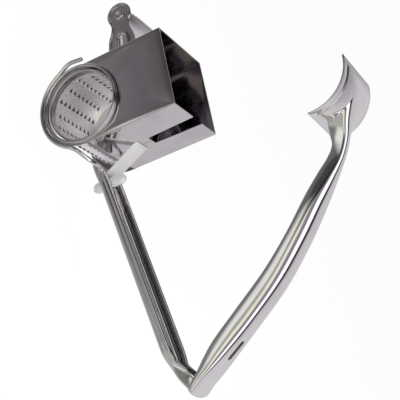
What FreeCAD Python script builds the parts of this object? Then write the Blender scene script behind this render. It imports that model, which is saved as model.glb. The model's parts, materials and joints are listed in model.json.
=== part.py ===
import FreeCAD, Part
import math
import os

# Rotary drum shredder with a squeeze handle. Lengths in millimetres, angles in degrees.
# Frame: X runs from the drum to the handle hinge, Y along the drum axis from the open
# end to the crank, Z up through the hopper mouth. The origin is the centre of the
# drum outlet, on the outer face of the near side panel.

V = FreeCAD.Vector
ORIGIN = V(0, 0, 0)
ALONG_X = V(1, 0, 0)
ALONG_Y = V(0, 1, 0)
ALONG_Z = V(0, 0, 1)

# ---------------------------------------------------------------- driving dimensions

# Clearances
running_gap = 0.06          # radial play of a pin or spindle in its hole
side_gap = 0.5              # side play between parts that turn past each other
seat_gap = 0.15             # between a formed part and the sheet it is welded to

# Hopper, folded from one sheet thickness
sheet = 0.8
hopper_width = 56.0         # along X, outside
hopper_depth = 56.0         # along Y, outside
mouth_height = 64.0         # mouth above the drum axis
wall_foot = 2.0             # the front and back walls end this far above the axis
fold_round = 0.7            # rounding of the folded corners
lip_drop = 4.5              # the turned lip under each wall
lip_lean = 18.0             # lean of that lip towards the drum

# Slot in the back wall that lets the pusher arm in
slot_mouth_width = 12.4
slot_foot_width = 9.4
slot_foot_height = 30.2
seam_width = 0.3

# Outlet ring on the near panel
outlet_play = 1.0           # the outlet is this much wider than the drum all round
ring_wall = 0.9
ring_depth = 1.9
ring_bead_radius = 1.0

# Drum
drum_side_gap = 3.7         # between the drum and the outer faces of the walls beside it
drum_sheet = 0.7
drum_front = 5.0            # the cutting sheet starts this far behind the outlet
drum_end_gap = 5.0          # between its end and the outer face of the far panel
rim_front = 0.9
rim_bead = 0.45
end_plate_thick = 1.2
end_seat_radius = 11.0
end_seat_depth = 0.5

# Teeth of the drum
row_count = 16
tooth_pitch = 4.7
first_tooth = 4.4           # from the front edge of the sheet
last_tooth = 3.6            # least distance of a tooth from the back edge of the sheet
opening_width = 3.2
opening_length = 3.0
tooth_height = 1.1
tooth_lead = 1.5
notch_radius = 1.5
notch_angles = (212.0, 229.0)

# Spindle and its bearing in the far panel
spindle_radius = 3.5
hub_radius = 7.0
hub_length = 3.2
bush_radius = 6.0
bush_flange_radius = 9.5
bush_flange_thick = 1.2
bush_in = 1.4               # how far it reaches inside the far panel
bush_out = 6.0
nut_height = 3.6
nut_radius = 6.2
washer_radius = 7.5
washer_thick = 0.8

# Crank lever
crank_length = 100.0
crank_rise = 4.5            # degrees above the line to the front
crank_thick = 1.6
crank_head_radius = 9.9
crank_hub_radius = 13.5
crank_neck_width = 14.6
crank_neck_back = 9.0
crank_shoulder_width = 22.0
crank_shoulder_back = 21.0
crank_edge = 1.5            # width of the turned edge
crank_edge_depth = 1.5      # its height over the plate
crank_dish_length = 62.0
crank_dish_width = 9.0
crank_dish_depth = 0.8
crank_dish_start = 15.0     # from the knob's axis

# Knob
knob_radius = 7.8
knob_neck_radius = 6.0
knob_length = 39.0
knob_post_radius = 2.6
knob_post_bore = 1.1
knob_head_radius = 4.0
knob_head_height = 1.0

# Handles
arm_offset = 2.0            # their middle plane lies this far behind the hopper's
handle_sheet = 1.0
lower_width = 20.4
lower_height = 8.2
lower_round = 4.0           # rounding between its floor and its sides
lower_slope = 10.3
lower_back = 5.0            # it starts this far behind the back wall
lower_start_height = -11.5
lower_ear_height = 4.8      # its sides are this high in front of the rolled rims
ear_length = 9.0            # then its sides end in rolled rims
rim_end_back = 28.5         # as far as this distance in front of the hinge
rim_radius = 2.0
rim_bore = 1.0
rim_proud = 0.1             # how far the rolled rims stand out from the sides
nose_width = 13.2           # at the hinge
nose_reach = 4.6            # how far the nose reaches past the pin
nose_dip_back = 12.5        # the legs of the nose begin to rise this far before the pin

hinge_x = 186.5
hinge_z = 27.0
hinge_pin_radius = 1.6
hinge_boss_radius = 2.9     # metal round the pin
hinge_head_radius = 2.7
hinge_head_height = 0.9
ear_thick = 1.2

open_angle = 46.0           # how far the upper handle stands open

upper_width = 23.0
tongue_reach = 6.8          # how far it reaches past the hinge pin
hang_slot_length = 14.0
hang_slot_width = 3.6
hang_slot_from_hinge = 28.0

# Pusher on the end of the upper handle
pusher_gap = 1.0            # between the pusher face and the drum, closed
pusher_sheet = 1.0
pusher_side_gap = 4.75      # between its edges and the outer faces of the panels
pusher_front_angle = 45.0
pusher_back_angle = 47.0
pusher_set_back = 2.0       # its centre stands behind the drum axis, closed
pusher_lift = 1.5           # and this far above it

# Cradle arms that hold the hopper
cradle_rod_radius = 1.45
cradle_stand_off = 0.8      # its middle stands this far outside the panel's face
cradle_top = (2.9, 6.6)     # its free end: in front of the front wall, and Z
cradle_bulge = (3.4, -4.0)
cradle_leg_low = (5.4, -6.4)    # on its way to the rim: behind the back wall, and Z
cradle_leg_high = (8.6, -4.3)
cradle_join_angle = 207.0   # where it meets the round foot of the panel
cradle_leave_angle = 332.0  # and where it leaves it
cradle_bore_radius = 0.75
cradle_bore_depth = 4.0

# Brace strap between the hopper and the lower handle
strap_width = 13.4
strap_sheet = 1.2
strap_top = 23.2
strap_bend = 20.8
strap_reach = 16.0          # its heel lies this far behind the back wall
strap_foot_length = 8.6
strap_foot_width = 11.6     # the foot is narrowed to lie on the channel's flat floor
strap_rivet_back = 5.4      # rivet behind the heel
foot_gap = 0.02             # under the strap's foot
rivet_radius = 1.4
rivet_head_radius = 2.4
rivet_head_height = 0.8

# Tab plate that stands through the floor of the lower handle
tab_behind_heel = 3.8
tab_aside = 5.0             # in front of the handles' middle plane
tab_length = 24.4
tab_width = 7.2
tab_thick = 1.2
tab_lift = 6.2              # its middle above the underside of the handle

# ---------------------------------------------------------------- derived values

half_width = hopper_width / 2
far_face = hopper_depth
mouth = mouth_height
drum_radius = half_width - drum_side_gap
outlet_radius = drum_radius + outlet_play
arm_middle = hopper_depth / 2 + arm_offset
pusher_width = hopper_depth - 2 * pusher_side_gap
lower_start = half_width + lower_back
rim_start = lower_start + ear_length
rim_end = hinge_x - rim_end_back
nose_dip_x = hinge_x - nose_dip_back
strap_heel_x = half_width + strap_reach
tab_x = strap_heel_x + tab_behind_heel
tab_y = arm_middle - tab_aside
pusher_radius = drum_radius + tooth_height + pusher_gap
drum_back = far_face - drum_end_gap
drum_length = drum_back - drum_front
teeth_in_row = 1 + int((drum_length - first_tooth - last_tooth) / tooth_pitch)
bush_front = far_face - sheet - bush_in
crank_plane = far_face + bush_flange_thick + bush_out + side_gap
knob_base = crank_plane + crank_thick + side_gap
slope_tan = math.tan(math.radians(lower_slope))
cradle_radius = half_width + math.sqrt((cradle_rod_radius + seat_gap) ** 2
                                       - cradle_stand_off ** 2)
pusher_back = pusher_radius + pusher_sheet


# ---------------------------------------------------------------- helpers

def box(x0, x1, y0, y1, z0, z1):
    return Part.makeBox(x1 - x0, y1 - y0, z1 - z0, V(x0, y0, z0))


def rod(radius, y0, y1, x=0.0, z=0.0):
    """Cylinder along Y."""
    return Part.makeCylinder(radius, y1 - y0, V(x, y0, z), ALONG_Y)


def ring(outer, inner, y0, y1, x=0.0, z=0.0):
    return rod(outer, y0, y1, x, z).cut(rod(inner, y0 - 1, y1 + 1, x, z))


def plate(points, y0, y1):
    """Flat plate between y0 and y1 with the closed outline given as (x, z) pairs."""
    loop = [V(x, y0, z) for x, z in points]
    wire = Part.makePolygon(loop + [loop[0]])
    return Part.Face(wire).extrude(V(0, y1 - y0, 0))


def slab(points, x0, x1):
    """Flat plate between x0 and x1 with the closed outline given as (y, z) pairs."""
    loop = [V(x0, y, z) for y, z in points]
    wire = Part.makePolygon(loop + [loop[0]])
    return Part.Face(wire).extrude(V(x1 - x0, 0, 0))


def revolve_y(points):
    """Solid of revolution round Y from a closed outline of (radius, y) pairs."""
    loop = [V(r, y, 0) for r, y in points]
    wire = Part.makePolygon(loop + [loop[0]])
    return Part.Face(wire).revolve(ORIGIN, ALONG_Y, 360)


def strip(points, thick, y0, y1):
    """Bent strip: the (x, z) path is its one face, the other lies thick to the left."""
    left = []
    for i, point in enumerate(points):
        before = points[max(i - 1, 0)]
        after = points[min(i + 1, len(points) - 1)]
        dirs = []
        for a, b in ((before, point), (point, after)):
            length = math.hypot(b[0] - a[0], b[1] - a[1])
            if length > 1e-9:
                dirs.append(((b[0] - a[0]) / length, (b[1] - a[1]) / length))
        normal = [sum(-d[1] for d in dirs), sum(d[0] for d in dirs)]
        size = math.hypot(*normal)
        normal = [normal[0] / size, normal[1] / size]
        cosine = normal[0] * -dirs[0][1] + normal[1] * dirs[0][0]
        left.append((point[0] + normal[0] * thick / cosine,
                     point[1] + normal[1] * thick / cosine))
    return plate(points + left[::-1], y0, y1)


def channel_section(at, up, width, height, radius, lip=None):
    """Closed section of a U channel: round corners at the top, any lips turned in below."""
    half, t, foot = width / 2, handle_sheet, -height
    inner = radius - t
    diagonal = math.sqrt(0.5)

    def point(y, rise):
        return at + V(0, y, 0) + up * rise

    def side(sign):
        centre = (sign * (half - radius), -radius)
        corners = []
        for bend in (radius, inner):
            corners.append([(centre[0] + sign * bend * c, centre[1] + bend * s)
                            for c, s in ((1, 0), (diagonal, diagonal), (0, 1))])
        if lip is None:
            return corners, [(sign * half, foot)], [(sign * (half - t), foot)]
        outer = [(sign * (half - lip), foot), (sign * half, foot)]
        inside = [(sign * (half - t), foot + t), (sign * (half - lip), foot + t)]
        return corners, outer, inside

    (near, near_in), near_lip, near_floor = side(-1)
    (far, far_in), far_lip, far_floor = side(1)
    runs = [near_lip + [near[0]], near, [near[2], far[2]], far[::-1],
            [far[0]] + far_lip[::-1], [far_lip[0], far_floor[-1]],
            far_floor[::-1] + [far_in[0]], far_in, [far_in[2], near_in[2]],
            near_in[::-1], [near_in[0]] + near_floor, [near_floor[-1], near_lip[0]]]
    edges = []
    for run in runs:
        places = [point(y, rise) for y, rise in run]
        if run in (near, far[::-1], far_in, near_in[::-1]):
            edges.append(Part.Arc(*places).toShape())
        else:
            edges += [Part.makeLine(a, b) for a, b in zip(places, places[1:])]
    return Part.Wire(edges)


def channel(stations, opens_down, smooth):
    """Channel lofted through sections given as x, z, width, height, radius and lip."""
    curve = Part.BSplineCurve()
    curve.interpolate([V(x, arm_middle, z) for x, z, *_ in stations])
    wires = []
    for x, z, *sizes in stations:
        at = V(x, arm_middle, z)
        along = curve.tangent(curve.parameter(at))[0]
        up = V(-along.z, 0, along.x)
        if (up.z > 0) != opens_down:
            up = up * -1
        wires.append(channel_section(at, up, *sizes))
    return Part.makeLoft(wires, True, not smooth)


def turned(shape, angle, x=0.0, z=0.0):
    """Copy turned about a line along Y; a positive angle lifts the front end of X up."""
    copy = shape.copy()
    copy.rotate(V(x, 0, z), ALONG_Y, -angle)
    return copy


def rounded(shape, radius, picks):
    """Fillet of the edges that picks(edge) chooses, or the shape as it was."""
    edges = [edge for edge in shape.Edges if picks(edge)]
    result = shape
    if edges:
        result = shape.makeFillet(radius, edges)
    return result


def runs_along(edge, axis):
    if not isinstance(edge.Curve, Part.Line):
        return False
    return abs(edge.Curve.Direction.dot(axis)) > 0.999


def corner_edge(edge, axis, place, tolerance=0.01):
    """True for a straight edge along axis whose middle matches the given coordinates."""
    if not runs_along(edge, axis):
        return False
    middle = edge.CenterOfMass
    found = (middle.x, middle.y, middle.z)
    return all(want is None or abs(have - want) < tolerance
               for have, want in zip(found, place))


# ---------------------------------------------------------------- hopper

def side_panel(y0):
    """Side panel: straight sides up to the mouth, a half round foot round the drum."""
    straight = box(-half_width, half_width, y0, y0 + sheet, 0, mouth)
    outside = 0.0 if y0 == 0.0 else y0 + sheet
    straight = rounded(straight, fold_round,
                       lambda e: corner_edge(e, ALONG_Z, (None, outside, None)))
    foot = rod(half_width, y0, y0 + sheet)
    return straight.fuse(foot).removeSplitter()


def near_panel():
    panel = side_panel(0.0)
    return panel.cut(rod(outlet_radius, -1, sheet + 1))


def far_panel():
    panel = side_panel(far_face - sheet)
    return panel.cut(rod(bush_radius, far_face - sheet - 1, far_face + 1))


def outlet_ring():
    """Drawn collar round the outlet with a rolled bead at its front edge."""
    inner = outlet_radius
    outer = outlet_radius + ring_wall
    collar = revolve_y([(inner, 0.0), (outer, 0.0), (outer, -ring_depth),
                        (inner, -ring_depth)])
    bead_at = V(outer - ring_bead_radius + 0.6, -ring_depth, 0)
    circle = Part.Circle(bead_at, ALONG_Z, ring_bead_radius).toShape()
    bead = Part.Face(Part.Wire(circle)).revolve(ORIGIN, ALONG_Y, 360)
    bore = rod(inner, -ring_depth - 3, 1)
    return collar.fuse(bead).cut(bore).removeSplitter()


def wall_lip(x_face, inward, y0, y1):
    """Turned lip under a wall, leaning inward to the drum."""
    lean = math.radians(lip_lean)
    end_x = x_face + inward * lip_drop * math.sin(lean)
    end_z = wall_foot - lip_drop * math.cos(lean)
    if inward > 0:
        path = [(x_face, wall_foot), (end_x, end_z)]
    else:
        path = [(end_x, end_z), (x_face, wall_foot)]
    return strip(path, sheet, y0, y1)


def front_wall():
    wall = box(-half_width, -half_width + sheet, sheet, far_face - sheet, wall_foot, mouth)
    lip = wall_lip(-half_width, 1, sheet, far_face - sheet)
    return wall.fuse(lip).removeSplitter()


def back_flange(near_side):
    """One of the two flanges that meet at the seam and leave the tapered slot open."""
    if near_side:
        edge, sign = sheet, -1
    else:
        edge, sign = far_face - sheet, 1
    seam = arm_middle + sign * seam_width / 2
    outline = [(edge, wall_foot), (seam, wall_foot), (seam, slot_foot_height),
               (arm_middle + sign * slot_foot_width / 2, slot_foot_height),
               (arm_middle + sign * slot_mouth_width / 2, mouth), (edge, mouth)]
    wall = slab(outline, half_width - sheet, half_width)
    low, high = sorted((edge, seam))
    lip = wall_lip(half_width, -1, low, high)
    return wall.fuse(lip).removeSplitter()


# ---------------------------------------------------------------- drum

def tooth_opening(radius):
    """Three sided opening through the drum sheet, at angle 0 and Y 0."""
    half = opening_width / 2
    front = radius + 1
    depth = drum_sheet + 2
    loop = [V(front, -half, 0), V(front, half, 0), V(front, 0, opening_length)]
    face = Part.Face(Part.makePolygon(loop + [loop[0]]))
    return face.extrude(V(-depth, 0, 0))


def tooth_point(radius):
    """Raised cutting point that leans over the opening."""
    half = opening_width / 2
    sunk = radius - drum_sheet * 0.5
    back = -opening_length * 0.75
    a = V(sunk, -half, 0)
    b = V(sunk, half, 0)
    c = V(sunk, 0, back)
    tip = V(radius + tooth_height, 0, tooth_lead * 0.4)
    faces = []
    for loop in ((a, b, c), (a, b, tip), (b, c, tip), (c, a, tip)):
        faces.append(Part.Face(Part.makePolygon(list(loop) + [loop[0]])))
    return Part.Solid(Part.Shell(faces))


def grater_drum():
    """Cutting sheet rolled to a drum: staggered rows of raised teeth with openings.

    The sheet is left as its equal sectors, so that each stays a simple open shell.
    """
    step = 360.0 / row_count
    inner = drum_radius - drum_sheet
    sector = Part.makeCylinder(drum_radius, drum_length, V(0, drum_front, 0), ALONG_Y,
                               2 * step)
    core = rod(inner, drum_front - 1, drum_back + 1)
    sector = sector.cut(core)
    middle = sector.Solids[0].CenterOfMass
    start = math.degrees(math.atan2(middle.z, middle.x)) - step
    openings = []
    points = []
    for row in range(2):
        angle = start + (row + 0.5) * step
        for number in range(teeth_in_row - row):
            y = drum_front + first_tooth + (number + row * 0.5) * tooth_pitch
            for maker, group in ((tooth_opening, openings), (tooth_point, points)):
                piece = maker(drum_radius)
                piece.translate(V(0, y, 0))
                piece.rotate(ORIGIN, ALONG_Y, -angle)
                group.append(piece)
    sector = sector.cut(openings).multiFuse(points).removeSplitter()
    notches = []
    for angle in notch_angles:
        notch = Part.makeCylinder(notch_radius, drum_radius + 2, V(0, drum_front, 0),
                                  ALONG_X)
        notch.rotate(ORIGIN, ALONG_Y, -angle)
        notches.append(notch)
    sectors = []
    for number in range(row_count // 2):
        copy = sector.copy()
        copy.rotate(ORIGIN, ALONG_Y, 2 * step * number)
        sectors.append(copy.cut(notches).Solids[0])
    return Part.makeCompound(sectors)


def drum_rim():
    """Smooth ring on the open end of the drum, beaded at its front edge."""
    inner = drum_radius - drum_sheet
    outer = drum_radius
    bead = outer + rim_bead
    return revolve_y([(inner, rim_front), (bead, rim_front), (bead, rim_front + 1.2),
                      (outer, rim_front + 1.8), (outer, drum_front), (inner, drum_front)])


def drum_end_plate():
    """Disc that closes the crank end of the drum, with a drawn seat for the hub."""
    back = drum_back + end_plate_thick
    disc = rod(drum_radius, drum_back, back)
    disc = disc.cut(rod(spindle_radius, drum_back - 1, back + 1))
    return disc.cut(ring(end_seat_radius, hub_radius, back - end_seat_depth, back + 1))


def drum_hub():
    return ring(hub_radius, spindle_radius, drum_back - hub_length, drum_back)


def spindle():
    front = drum_back - hub_length - 1.0
    back = crank_plane + crank_thick
    body = rod(spindle_radius, front, back)
    thread = rod(spindle_radius - 0.6, back, back + nut_height + 0.8)
    return body.fuse(thread).removeSplitter()


def bearing_bush():
    """Flanged bush pressed into the far panel."""
    flange = rod(bush_flange_radius, far_face, far_face + bush_flange_thick)
    body = rod(bush_radius, bush_front, far_face + bush_flange_thick + bush_out)
    bush = flange.fuse(body).removeSplitter()
    return bush.cut(rod(spindle_radius + running_gap, bush_front - 1, far_face + 10))


# ---------------------------------------------------------------- crank and knob

def crank_outline(grow):
    """Outline of the lever as a solid along -X, grown by grow: head, waist and hub."""
    head = crank_head_radius + grow
    hub = crank_hub_radius + grow
    neck = crank_neck_width / 2 + grow
    neck_x = -(crank_length - crank_neck_back)
    depth = crank_edge_depth + crank_thick
    bottom = crank_plane - crank_edge_depth
    shoulder = crank_shoulder_width / 2 + grow
    shoulder_x = -(crank_length - crank_shoulder_back)
    one_side = [(-crank_length + 3, head * 0.93), (neck_x, neck), (shoulder_x, shoulder),
                (0, hub)]
    other_side = [(x, -z) for x, z in one_side[::-1]]
    waist = plate(one_side + other_side, bottom, bottom + depth)
    round_head = rod(head, bottom, bottom + depth, -crank_length, 0)
    round_hub = rod(hub, bottom, bottom + depth)
    return waist.fuse([round_head, round_hub]).removeSplitter()


def long_hole(x0, x1, width, y0, y1):
    """Solid with the outline of a slot along X."""
    half = width / 2
    middle = box(x0 + half, x1 - half, y0, y1, -half, half)
    ends = [rod(half, y0, y1, x0 + half, 0), rod(half, y0, y1, x1 - half, 0)]
    return middle.fuse(ends).removeSplitter()


def crank_lever():
    """Pressed lever with a turned edge and a long dish."""
    outer = crank_outline(0.0)
    inside = crank_outline(-crank_edge)
    inside.translate(V(0, -crank_thick, 0))
    lever = outer.cut(inside)
    dish_from = -crank_length + crank_dish_start
    dish = long_hole(dish_from, dish_from + crank_dish_length, crank_dish_width,
                     crank_plane - 1, crank_plane + crank_dish_depth)
    lever = lever.cut(dish)
    lever = lever.cut(rod(spindle_radius, crank_plane - 5, crank_plane + 5))
    lever = lever.cut(rod(knob_post_radius, crank_plane - 5, crank_plane + 5,
                          -crank_length, 0))
    return turned(lever, -crank_rise)


def on_crank(shape):
    """Piece drawn round the Y axis, set on the knob end of the lever."""
    copy = shape.copy()
    copy.translate(V(-crank_length, 0, 0))
    return turned(copy, -crank_rise)


def crank_nut():
    base = crank_plane + crank_thick + washer_thick
    loop = []
    for number in range(6):
        angle = math.radians(60 * number)
        loop.append((nut_radius * math.cos(angle), nut_radius * math.sin(angle)))
    nut = plate(loop, base, base + nut_height)
    return nut.cut(rod(spindle_radius - 0.6, base - 1, base + nut_height + 1))


def crank_washer():
    base = crank_plane + crank_thick
    return ring(washer_radius, spindle_radius - 0.6, base, base + washer_thick)


def knob_post():
    """Hollow post, riveted over the lever, that the knob turns on."""
    front = crank_plane - knob_head_height
    back = knob_base + knob_length + 0.4
    post = rod(knob_post_radius, crank_plane, back)
    head = rod(knob_head_radius, front, crank_plane)
    cap = rod(knob_head_radius, back, back + knob_head_height)
    post = post.fuse([head, cap]).removeSplitter()
    post = post.cut(rod(knob_post_bore, front - 1, back + 5))
    return on_crank(post)


def knob():
    """Turned grip, wider towards its free end."""
    grip = knob_length
    bore = knob_post_radius + running_gap
    loop = [(bore, 0), (knob_neck_radius, 0), (knob_neck_radius + 0.6, 1.4)]
    loop += [(knob_radius, grip * 0.45), (knob_radius, grip - 2.4)]
    loop += [(knob_radius - 1.0, grip - 0.6), (knob_radius - 2.2, grip), (bore, grip)]
    body = revolve_y(loop)
    body.translate(V(0, knob_base, 0))
    return on_crank(body)


# ---------------------------------------------------------------- lower handle

def lower_floor(x):
    """Height of the underside of the lower handle at x."""
    return lower_start_height + (x - lower_start) * slope_tan


def lower_stations():
    """Sections of the lower handle: straight, then narrowed and turned up at the nose."""
    straight = [(x, lower_floor(x), lower_width, lower_height, lower_round)
                for x in (lower_start, hinge_x - 86.5, hinge_x - 46.5, rim_end - 1.0)]
    nose = [(-23.5, -14.7, 19.6, 8.4, 4.0), (-18.5, -13.5, 18.0, 9.4, 3.9),
            (-14.0, -12.1, 16.2, 11.0, 3.5), (-10.0, -10.5, 14.6, 13.0, 3.0),
            (-6.0, -8.9, 13.4, 14.4, 2.5), (-2.0, -6.9, nose_width, 14.4, 2.2),
            (2.0, -4.3, nose_width, 12.4, 2.2), (5.1, -2.1, nose_width, 10.0, 2.2)]
    return straight + [(hinge_x + x, hinge_z + z, *sizes) for x, z, *sizes in nose]


def lower_rim(side, radius, x0, x1):
    """Rod along the rim of the channel, on its near (-1) or far (1) side."""
    def at(x):
        return V(x, rim_middle(side), lower_rim_height(x))
    return Part.makeCylinder(radius, (at(x1) - at(x0)).Length, at(x0), at(x1) - at(x0))


def rim_middle(side):
    return arm_middle + side * (lower_width / 2 - rim_radius + rim_proud)


def lower_rim_height(x):
    """Height of the middle of the rolled rims at x."""
    return lower_floor(x) + lower_height - rim_radius


def lower_room():
    """Room over the sides: low in front, then along the rims, then round the hinge pin."""
    high = hinge_z + 40.0
    ear = lower_start_height + lower_ear_height
    edge = [(0, ear), (rim_start, ear)]
    edge += [(x, lower_rim_height(x)) for x in (rim_start, rim_end)]
    edge += [(x, lower_floor(x) + lower_height) for x in (rim_end, nose_dip_x)]
    edge += [(hinge_x - 0.8 * nose_reach, hinge_z + 0.5 * nose_reach), (hinge_x, hinge_z),
             (hinge_x + 20, hinge_z)]
    room = plate([(0, high)] + edge + [(hinge_x + 20, high)], 0, far_face)
    return room.cut(rod(nose_reach, 0, far_face, hinge_x, hinge_z))


def lower_handle():
    """Channel with rolled rims, open upwards, whose legs rise to hold the hinge pin."""
    reach = hinge_x + nose_reach
    beyond = box(reach, reach + 20, 0, far_face, lower_start_height, hinge_z)
    handle = channel(lower_stations(), False, False).cut([lower_room(), beyond])
    handle = handle.multiFuse([lower_rim(side, rim_radius, rim_start, rim_end)
                               for side in (-1, 1)])
    bores = [lower_rim(side, rim_bore, rim_start - 5, rim_end - 2) for side in (-1, 1)]
    pin = rod(hinge_pin_radius, 0, far_face, hinge_x, hinge_z)
    handle = handle.cut(bores + [pin, tab_plate(), strap_rivet_hole()])
    return handle.removeSplitter()


def hinge_pin():
    """Pin riveted in the legs of the lower handle's nose."""
    y0 = arm_middle - nose_width / 2
    y1 = arm_middle + nose_width / 2
    pin = rod(hinge_pin_radius, y0, y1, hinge_x, hinge_z)
    heads = [rod(hinge_head_radius, y0 - hinge_head_height, y0, hinge_x, hinge_z),
             rod(hinge_head_radius, y1, y1 + hinge_head_height, hinge_x, hinge_z)]
    return pin.fuse(heads).removeSplitter()


# ---------------------------------------------------------------- tab plate

def tab_plate():
    """Oblong plate that stands on end in a slot of the channel floor."""
    half = tab_width / 2
    middle = lower_floor(tab_x) + tab_lift
    low, high = middle - tab_length / 2 + half, middle + tab_length / 2 - half
    y0, y1 = tab_y - tab_thick / 2, tab_y + tab_thick / 2
    body = box(tab_x - half, tab_x + half, y0, y1, low, high)
    ends = [rod(half, y0, y1, tab_x, z) for z in (low, high)]
    return body.fuse(ends).removeSplitter()


# ---------------------------------------------------------------- brace strap

def strap_foot_z(x):
    """Height of the channel floor, where the strap's foot lies."""
    return lower_floor(x) + handle_sheet / math.cos(math.radians(lower_slope)) + foot_gap


def brace_strap():
    """Strap from the back wall down to a foot turned under it, on the channel floor."""
    y0 = arm_middle - strap_width / 2
    y1 = arm_middle + strap_width / 2
    heel = strap_heel_x
    toe = heel - strap_foot_length
    wall = half_width + strap_sheet
    path = [(toe, strap_foot_z(toe)), (heel, strap_foot_z(heel)),
            (wall, strap_bend), (wall, strap_top)]
    strap = strip(path, strap_sheet, y0, y1)
    foot_low = strap_foot_z(heel)
    half, foot_half = strap_width / 2, strap_foot_width / 2
    side = [(half, strap_top), (half, foot_low + 3.4), (foot_half, foot_low + 0.8),
            (foot_half, foot_low - 20)]
    outline = [(arm_middle + y, z) for y, z in side]
    outline += [(arm_middle - y, z) for y, z in side[::-1]]
    strap = strap.common(slab(outline, toe - 5, heel + 5))
    return strap.cut(strap_rivet_hole())


def strap_rivet_at():
    x = strap_heel_x - strap_rivet_back
    return V(x, arm_middle, strap_foot_z(x))


def strap_normal():
    angle = math.radians(lower_slope)
    return V(-math.sin(angle), 0, math.cos(angle))


def strap_rivet_hole():
    at = strap_rivet_at() - strap_normal() * 3
    return Part.makeCylinder(rivet_radius, 4.4, at, strap_normal())


# ---------------------------------------------------------------- cradle arms

def smooth_path(points, start_along, end_along):
    """Smooth curve through the points with a given direction at either end."""
    curve = Part.BSplineCurve()
    curve.interpolate(Points=points, InitialTangent=start_along, FinalTangent=end_along)
    return curve.toShape()


def cradle_arm(side):
    """Rolled tube from the channel's rim round the panel's foot to a free end."""
    if side < 0:
        ring_y = -cradle_stand_off
    else:
        ring_y = far_face + cradle_stand_off
    rim_y = rim_middle(side)

    def on_ring(angle):
        turn = math.radians(angle)
        return V(cradle_radius * math.cos(turn), ring_y, cradle_radius * math.sin(turn))

    def along_ring(angle):
        turn = math.radians(angle)
        return V(-math.sin(turn), 0, math.cos(turn))

    def between(share, place):
        return V(half_width + place[0], ring_y + share * (rim_y - ring_y), place[1])

    join, leave = cradle_join_angle, cradle_leave_angle
    top = V(-half_width - cradle_top[0], ring_y, cradle_top[1])
    bulge = V(-half_width - cradle_bulge[0], ring_y, cradle_bulge[1])
    slope = math.radians(lower_slope)
    rim = V(rim_start, rim_y, lower_rim_height(rim_start))
    end = smooth_path([top, bulge, on_ring(join)], V(-0.08, 0, -1), along_ring(join))
    arc = Part.Arc(on_ring(join), on_ring((join + leave) / 2), on_ring(leave)).toShape()
    leg = smooth_path([on_ring(leave), between(0.25, cradle_leg_low),
                       between(0.64, cradle_leg_high), rim],
                      along_ring(leave), V(math.cos(slope), 0, math.sin(slope)))
    start_along = V(-0.08, 0, -1)
    circle = Part.Wire(Part.Circle(top, start_along, cradle_rod_radius).toShape())
    arm = Part.Wire([end, arc, leg]).makePipeShell([circle], True, False)
    return arm.cut(Part.makeCylinder(cradle_bore_radius, cradle_bore_depth, top, start_along))


# ---------------------------------------------------------------- upper handle, closed

def upper_stations():
    """Sections of the closed handle, tongue to pusher: x, z, width, height, radius, lip."""
    tongue = [(tongue_reach, 7.0, 22.0, 3.0, 1.5, 1.6), (-4.0, 8.3, 22.2, 4.6, 2.6, 1.9),
              (-12.5, 10.6, 22.4, 7.6, 4.2, 2.6), (-24.5, 13.2, 22.2, 10.4, 6.2, 3.2),
              (-47.5, 17.2, 21.6, 11.6, 8.2, 3.4)]
    tongue = [(hinge_x + x, hinge_z + z, *sizes) for x, z, *sizes in tongue]
    return tongue + [
            (110.6, 47.4, 21.0, 11.4, 8.4, 3.4),
            (84.0, 47.0, 20.4, 10.6, 8.0, 3.2), (62.0, 45.0, 18.4, 10.2, 6.6, 2.8),
            (46.0, 43.2, 12.6, 9.8, 4.8, 2.0), (34.0, 41.4, 8.2, 8.7, 3.2, 1.4),
            (26.0, 39.4, 7.6, 8.5, 3.0, 1.3), (19.0, 36.8, 8.6, 11.2, 3.2, 1.3),
            (10.0, 32.9, 13.6, 12.6, 4.2, 1.5), (0.0, 29.8, 17.6, 11.0, 4.6, 1.6),
            (-6.0, 28.9, 18.6, 9.0, 4.6, 1.6)]


def tongue_end():
    """Plan that rounds the end of the tongue beyond the hinge."""
    half = upper_width / 2
    reach = hinge_x + tongue_reach
    low, high = hinge_z - 2 * half, hinge_z + 3 * half
    body = box(-hinge_x, reach - half, arm_middle - half, arm_middle + half, low, high)
    end = Part.makeCylinder(half, high - low, V(reach - half, arm_middle, low), ALONG_Z)
    return body.fuse(end).removeSplitter()


def upper_ear(side):
    """Ear under the tongue that turns on the hinge pin, inside the nose."""
    outer = nose_width / 2 - handle_sheet - side_gap
    y0, y1 = sorted((arm_middle + side * outer, arm_middle + side * (outer - ear_thick)))
    radius = hinge_boss_radius
    neck = box(hinge_x - radius, hinge_x + radius, y0, y1, hinge_z, hinge_z + 6.6)
    return neck.fuse(rod(radius, y0, y1, hinge_x, hinge_z)).removeSplitter()


def upper_handle_closed():
    """Arched channel, open downwards, narrowed to pass the slot of the hopper."""
    handle = channel(upper_stations(), True, True).common(tongue_end())
    handle = handle.multiFuse([upper_ear(-1), upper_ear(1)])
    seat = rod(pusher_back, 0, far_face, pusher_set_back, pusher_lift)
    pin = rod(hinge_pin_radius + running_gap, 0, far_face, hinge_x, hinge_z)
    return handle.cut([seat, pin, hang_slot()]).removeSplitter()


def hang_slot():
    x = hinge_x - hang_slot_from_hinge
    half = hang_slot_length / 2
    slot = Part.makeBox(2 * half, hang_slot_width, 40,
                        V(x - half, arm_middle - hang_slot_width / 2, 34))
    return rounded(slot, hang_slot_width / 2 - 0.05, lambda e: runs_along(e, ALONG_Z))


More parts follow.
